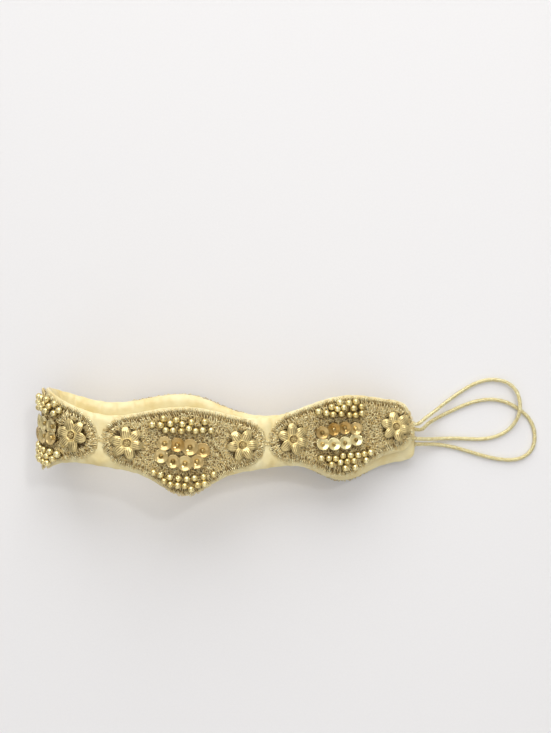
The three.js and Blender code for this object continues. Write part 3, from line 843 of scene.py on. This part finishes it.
def makeStitches(motif):
    shapes, tints = [], []

    def sew(kind, s, v, h, turn, size=0.15, light=0.0):
        # fringe stands over whatever is sewn near it, and the rest keeps clear of beads, sequins and flowers
        bare = np.clip(openness(motif, s, v) + light * 9, -1, 1)
        s, v, turn, bare = s[bare > 0], v[bare > 0], turn[bare > 0], bare[bare > 0]
        many = len(s)
        sizes = chance.uniform(1 - size, 1 + size, (many, 3))
        axes, places = seats(s, v, h + chance.uniform(0, 0.15, many), turn, chance.normal(0, 0.1, many))
        shapes.append(spreadCopies(stitchShapes[kind], axes, places, sizes))
        # painted shade: stitches close beside beads, sequins and flowers are tinted darker
        tint = chance.uniform(-0.2, 1.1, many) * (0.2 + 0.8 * bare) + light
        tints.append(np.repeat(tint, len(stitchShapes[kind][0])))

    # fringe at the edge: loops over two rows of plain stitches
    half = "folded" if motif["kind"] == "folded" else "lying" if motif["centre"] < 0 else "upper"
    for kind, inset, height, light in trim["fringe"]:
        inset = trim["loopInset"][half] if inset is None else inset
        spots, turn = motifOutline(motif, inset, trim["fringeEvery"])
        spots = spots + chance.normal(0, 0.2, spots.shape)
        sew(kind, spots[:, 0], spots[:, 1], height, turn + chance.normal(0, 0.22, len(turn)), light=light)
    # rounds of stitches about each flower, and a few coiled loops beside it
    for side in (-1, 1):
        middle = motif["centre"] + side * flowerOffset
        for ring, many in trim["rings"]:
            angle = np.linspace(0, 2 * math.pi, many, endpoint=False) + chance.normal(0, 0.03, many)
            away = ring + chance.normal(0, 0.2, many)
            s, v = middle + away * np.cos(angle), away * np.sin(angle)
            keep = insideTrim(s, v, 2.5)
            turn = angle[keep] + chance.normal(0, 0.2, keep.sum())
            sew("long", s[keep], v[keep], trim["height"], turn)
        angle = chance.uniform(math.pi, 2 * math.pi, trim["purls"])
        sew("purl", middle + trim["purlRing"] * np.cos(angle), trim["purlRing"] * np.sin(angle),
            trim["purlHeight"], angle)
    # the tangle between, on a jittered grid
    reach, every = flowerOffset + edge["roundelReach"], trim["fillEvery"]
    s, v = np.meshgrid(np.arange(-reach, reach, every), np.arange(trim["fillFrom"], trim["fillTo"], every))
    s = motif["centre"] + s.ravel() + chance.normal(0, trim["fillStray"], s.size)
    v = v.ravel() + chance.normal(0, trim["fillStray"], v.size)
    keep = insideTrim(s, v, 2.6)
    s, v = s[keep], v[keep]
    kinds = chance.choice(list(trim["fillKinds"]), len(s), p=list(trim["fillKinds"].values()))
    for kind in trim["fillKinds"]:
        pick = kinds == kind
        turn = chance.uniform(0, 2 * math.pi, pick.sum())
        sew(kind, s[pick], v[pick], trim["height"], turn, size=0.25)
    meshPiece(f"trim_stitches_{motif['name']}", joinShapes(shapes), stitchThread,
              np.concatenate(tints))


links = {"reach": 5, "points": 60, "lane": 0.75, "sway": 0.35, "height": 2.4, "twists": 4, "ring": 0.28,
         "radius": 0.27, "sides": 6}


def makeLinks():
    # the twisted threads between two motifs
    shapes, tints = [], []
    for place in (-1.5, -0.5, 0.5, 1.5):
        for lane, way in enumerate((1, -1)):
            s = place * motifPitch + np.linspace(-links["reach"], links["reach"], links["points"])
            line = onBand(s, way * links["lane"] + links["sway"] * np.sin(s * 1.1 + lane), links["height"])
            for start in (0, math.pi):
                shapes.append(strandAlong(line, links["twists"], links["ring"], links["radius"], start=start,
                                          sides=links["sides"]))
                tints.append(np.full(len(shapes[-1][0]), chance.uniform(0.3, 0.9)))
    turnOutwards(meshPiece("trim_links", joinShapes(shapes), stitchThread,
                           np.concatenate(tints)))


for motif in motifRows:
    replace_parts(makeGround(motif), "embroidered_trim")
    makeStitches(motif)
makeLinks()
print("embroidered trim done")

# Round gold beads
bead = {"diameter": 3.3, "hole": 0.42, "segments": 16, "rings": 10, "poleFrom": 0.93, "dent": 0.8}


def modelBead():
    # a ball with a hole: its poles are pushed in, and the rims round them drawn together
    radius = bead["diameter"] / 2
    bpy.ops.mesh.primitive_uv_sphere_add(segments=bead["segments"], ring_count=bead["rings"],
                                         radius=radius * mm)
    ball = bpy.context.object
    for pole in (-1, 1):
        chooseFaces(ball, lambda face: face.center.z * pole > radius * mm * bead["poleFrom"])
        narrow = bead["hole"] / (radius * math.sin(math.pi / bead["rings"]))
        bpy.ops.transform.resize(value=(narrow, narrow, 1), center_override=(0, 0, 0))
        bpy.ops.mesh.inset(thickness=bead["hole"] * 0.2 * mm, depth=-bead["dent"] * mm)
    points, faces = takeShape(ball)
    return points[:, [2, 0, 1]], faces  # its hole now lies along the cloth


beadGold = platedMaterial("polishedGold", bright=colour(255, 240, 180), deep=colour(222, 196, 126),
                          gloss=0.21, Metallic=0.84)
beadShape = modelBead()


def makeBeads(motif, kind):
    spots = motif[kind + "At"]
    axes, places = seats(spots[:, 0], spots[:, 1], fold["outerHeight"] - bead["diameter"] / 2,
                         chance.uniform(0, 2 * math.pi, len(spots)), chance.normal(0, 0.5, len(spots)))
    shape = spreadCopies(beadShape, axes, places, chance.uniform(1.0, 1.06, (len(spots), 1)) * np.ones(3))
    piece = meshPiece(f"round_{kind}_beads_{motif['name']}", shape, beadGold,
                      np.repeat(chance.uniform(0.2, 1, len(spots)), len(beadShape[0])))
    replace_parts(piece, f"{kind}_beads_{motif['name']}")


for motif in motifRows:
    for kind in ("upper", "lower"):
        makeBeads(motif, kind)
print("beads done")

# Cupped sequins
sequin = {
    "wall": 0.12, "segments": 32, "knot": 2.1, "knotRise": 0.7, "standsOn": 3.3, "tip": 0.1,
    "profile": [(0.55, 0.15), (1.0, 0.15), (1.25, 0.32), (1.9, 0.36), (2.15, 0.47), (2.9, 0.66), (3.2, 0.88),
                (3.7, 1.3)],
    # of the upper and the lower row: sizes, how pale (partly their own tone and partly painted glare), how
    # far they lean, and how high the row lies
    "wide": {"sizes": [0.95, 0.95, 1.1, 0.98, 0.93, 0.9, 1.03, 0.93], "pale": (0.25, 0.5),
             "lean": (0, -0.05), "lift": (0, 0.3)},
    "arched": {"sizes": [0.9] * 8, "pale": (0.25, 1.15), "lean": (0, -0.22), "lift": (0, 0.5)},
    "folded": {"sizes": [1.0] * 8, "pale": (0.8, 0.5), "lean": (0, 0), "lift": (0, 0.4)},
}
sequinFilm = platedMaterial("amberSequin", bright=colour(255, 240, 178), deep=colour(192, 146, 60),
                            gloss=0.16, scale=150.0, bump=0.05, Metallic=0.55, Alpha=0.85,
                            Coat_Weight=0.4, Coat_Roughness=0.06)
knotGold = platedMaterial("seedBeadGold", bright=colour(232, 206, 138), deep=colour(112, 88, 40),
                          gloss=0.24, Metallic=0.8)


def modelSequin():
    # a thin cup with pressed rings and a hole, spun from its section
    bpy.ops.mesh.primitive_plane_add(size=1 * mm)
    cup = bpy.context.object
    mesh = cup.data
    mesh.clear_geometry()
    lower = [(r * mm, 0, z * mm) for r, z in sequin["profile"]]
    upper = [(r * mm, 0, (z + sequin["wall"]) * mm) for r, z in sequin["profile"][::-1]]
    corners = lower + upper
    mesh.from_pydata(corners, [(i, (i + 1) % len(corners)) for i in range(len(corners))], [])
    bpy.ops.object.mode_set(mode="EDIT")
    bpy.ops.mesh.select_all(action="SELECT")
    bpy.ops.mesh.spin(steps=sequin["segments"], angle=2 * math.pi, center=(0, 0, 0), axis=(0, 0, 1))
    return takeShape(cup)


sequinShape = modelSequin()


def makeSequins(motif):
    s, v = motif["sequinsAt"].T
    look = sequin[motif["kind"]]
    row = np.repeat([0, 1], len(s) // 2)
    lift, lean = np.take(look["lift"], row), np.take(look["lean"], row) + chance.normal(0, 0.05, len(s))
    tip = motif["side"] * sequin["tip"] + chance.normal(0, 0.03, len(s))
    axes, places = seats(s, v, sequin["standsOn"] + lift, 0, tip, lean)
    sizes = np.array(look["sizes"])[:, None] * np.ones(3)
    # how pale each row is painted: partly the sequins' own tone and partly painted glare
    pale = np.take(look["pale"], row) + chance.normal(0, 0.12, len(s))
    piece = meshPiece(f"cupped_sequins_{motif['name']}", spreadCopies(sequinShape, axes, places, sizes),
                      sequinFilm, np.repeat(pale, len(sequinShape[0])))
    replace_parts(piece, f"sequins_{motif['name']}")
    knots = spreadCopies(beadShape, axes, places + axes[:, :, 2] * sequin["knotRise"],
                         np.full(3, sequin["knot"] / bead["diameter"]))
    meshPiece(f"sequin_seed_beads_{motif['name']}", knots, knotGold,
              np.repeat(chance.uniform(0.1, 0.8, len(s)), len(beadShape[0])))


for motif in motifRows:
    makeSequins(motif)
print("sequins done")

# Stamped flowers
flower = {
    "petals": 6, "petalFrom": 1.8, "petalLength": 6.4, "petalWidth": 5.2, "petalThick": 0.5,
    # grooveTint and backTint are painted shade in the petals' grooves and on their undersides
    "petalSteps": 12, "strips": 10, "ribHeight": 0.34, "ribFade": 0.4, "grooveTint": 0.12, "backTint": 0.4,
    "rootShare": 0.14, "tipShare": 0.98, "fullness": 0.55,  # the part of a round that the outline follows
    "dome": 0.9, "petalHeight": 1.2, "tipDrop": 0.6, "dropFrom": 0.6,
    "cupRadius": 2.6, "cupHeight": 2.0, "cupSides": 28,
    "cupRings": [(0.12, 0.15), (0.2, 0), (0.12, -0.75), (0.7, -0.1)],  # how far in, and how far up or down
    # floorTint is the painted shade on the cup's hollow floor
    "floorRadius": 2.0, "floorTint": 0.35,
    "pleats": 26, "pleatAt": 3.05, "pleatSize": (0.7, 0.8, 1), "pleatDrop": 0.4,
    "grains": 6, "grainAt": 1.0, "grainSize": 0.27, "grainDrop": 0.25, "middleGrain": 0.36, "grainTint": 0.6,
    "turns": {"3b": 43, "4a": 43, "4b": 3, "5a": 42, "5b": 45},  # degrees, where the photo shows the flower
}
flowerGold = platedMaterial("stampedGold", bright=colour(252, 230, 162), deep=colour(104, 70, 26), gloss=0.3,
                            scale=500.0, Metallic=0.65)


def modelPetal():
    # a sheet in lengthwise strips, extruded thick, then drawn in to a spoon with every second edge raised,
    # with painted shade in the grooves and on the underside
    bpy.ops.mesh.primitive_grid_add(x_subdivisions=flower["petalSteps"], y_subdivisions=flower["strips"],
                                    size=2 * mm)
    petal = bpy.context.object
    bpy.ops.object.mode_set(mode="EDIT")
    bpy.ops.mesh.select_all(action="SELECT")
    bpy.ops.mesh.extrude_region_move(TRANSFORM_OT_translate={"value": (0, 0, flower["petalThick"] * mm)})
    points, faces = takeShape(petal)
    across, top = points[:, 1].copy(), points[:, 2] > flower["petalThick"] / 2
    share = (points[:, 0] + 1) / 2  # 0 at the root, 1 at the tip
    ridge = 0.5 + 0.5 * np.cos(math.pi * (across + 1) / 2 * flower["strips"])
    fade = np.sin(math.pi * np.clip(share, 0.02, 0.98)) ** flower["ribFade"]
    outline = flower["rootShare"] + (flower["tipShare"] - flower["rootShare"]) * share
    points[:, 1] *= np.sin(math.pi * outline) ** flower["fullness"] * flower["petalWidth"] / 2
    points[:, 2] += flower["petalHeight"] + flower["dome"] * (1 - across**2) * np.sin(math.pi * share)
    points[:, 2] += flower["ribHeight"] * ridge * fade * top
    drop = np.clip((share - flower["dropFrom"]) / (1 - flower["dropFrom"]), 0, None)
    points[:, 2] -= flower["tipDrop"] * drop**2
    points[:, 0] = flower["petalFrom"] + flower["petalLength"] * share
    # painted shade: the grooves darker than the raised edges, and the underside darker than the top
    grooveShade = 1 - (1 - flower["grooveTint"]) * (1 - ridge) * fade
    return (points, faces), np.where(top, grooveShade, flower["backTint"])


def roundAbout(radius, count, height):
    # places on a ring, and axes that point outwards there
    angle = np.arange(count) * 2 * math.pi / count
    zero, one = np.zeros(count), np.ones(count)
    first = np.stack([np.cos(angle), np.sin(angle), zero], axis=-1)
    second = np.stack([-np.sin(angle), np.cos(angle), zero], axis=-1)
    axes = np.stack([first, second, np.stack([zero, zero, one], axis=-1)], axis=-1)
    return axes, first * radius + [0, 0, height]


def modelCup():
    # the round cup in a flower's middle: a lip and a hollow inset in its top, grains in it, pleats round it;
    # the hollow is painted dark as shade
    height = flower["cupHeight"]
    bpy.ops.mesh.primitive_cylinder_add(vertices=flower["cupSides"], radius=flower["cupRadius"] * mm,
                                        depth=height * mm, end_fill_type="TRIFAN",
                                        location=(0, 0, height / 2 * mm))
    cup = bpy.context.object
    bpy.ops.object.transform_apply()
    chooseFaces(cup, lambda face: face.normal.z > 0.9)
    for inset, step in flower["cupRings"]:
        bpy.ops.mesh.inset(thickness=inset * mm, depth=step * mm)
    points, faces = takeShape(cup)
    pleatPlaces = roundAbout(flower["pleatAt"], flower["pleats"], height - flower["pleatDrop"])
    grainPlaces = roundAbout(flower["grainAt"], flower["grains"], height - flower["grainDrop"])
    shapes = [(points, faces), spreadCopies(stitchShapes["short"], *pleatPlaces, flower["pleatSize"]),
              spreadCopies(beadShape, *grainPlaces, np.full(3, flower["grainSize"])),
              spreadCopies(beadShape, *roundAbout(0, 1, height), np.full(3, flower["middleGrain"]))]
    out = np.hypot(points[:, 0], points[:, 1])
    # painted shade: the hollow inside the lip is tinted dark, darkest in the ring round its floor
    hollow = (points[:, 2] < height) & (out < flower["cupRadius"] - 0.3)
    tints = [np.where(hollow, np.where(out < flower["floorRadius"], flower["floorTint"], 0.0), 1.0)]
    for shape, tint in zip(shapes[1:], (1.0, flower["grainTint"], flower["grainTint"])):
        tints.append(np.full(len(shape[0]), tint))
    return joinShapes(shapes), np.concatenate(tints)


(petalShape, petalTints), (cupShape, cupTints) = modelPetal(), modelCup()


def makeFlower(name, s):
    # six petals, each tilted a little its own way, about the cup
    first = math.radians(flower["turns"].get(name, chance.uniform(0, 60)))
    count = flower["petals"]
    angle = first + np.arange(count) * 2 * math.pi / count + chance.normal(0, 0.06, count)
    axes, places = seats(s, 0, sequin["standsOn"], angle, chance.normal(0, 0.05, count),
                         chance.normal(0, 0.08, count))
    petals = spreadCopies(petalShape, axes, places, chance.uniform(0.95, 1.03, (count, 3)) * (1, 1, 0.95))
    axes, places = seats(np.array([s]), 0, sequin["standsOn"], first)
    cup = spreadCopies(cupShape, axes, places, np.ones(3))
    piece = meshPiece(f"stamped_flower_{name}", joinShapes([petals, cup]), flowerGold,
                      np.append(np.tile(petalTints, count), cupTints))
    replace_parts(piece, f"flower_{name}")


for motif in motifRows:
    makeFlower(motif["name"] + "a", motif["centre"] - flowerOffset)
    makeFlower(motif["name"] + "b", motif["centre"] + flowerOffset)
print("flowers done")
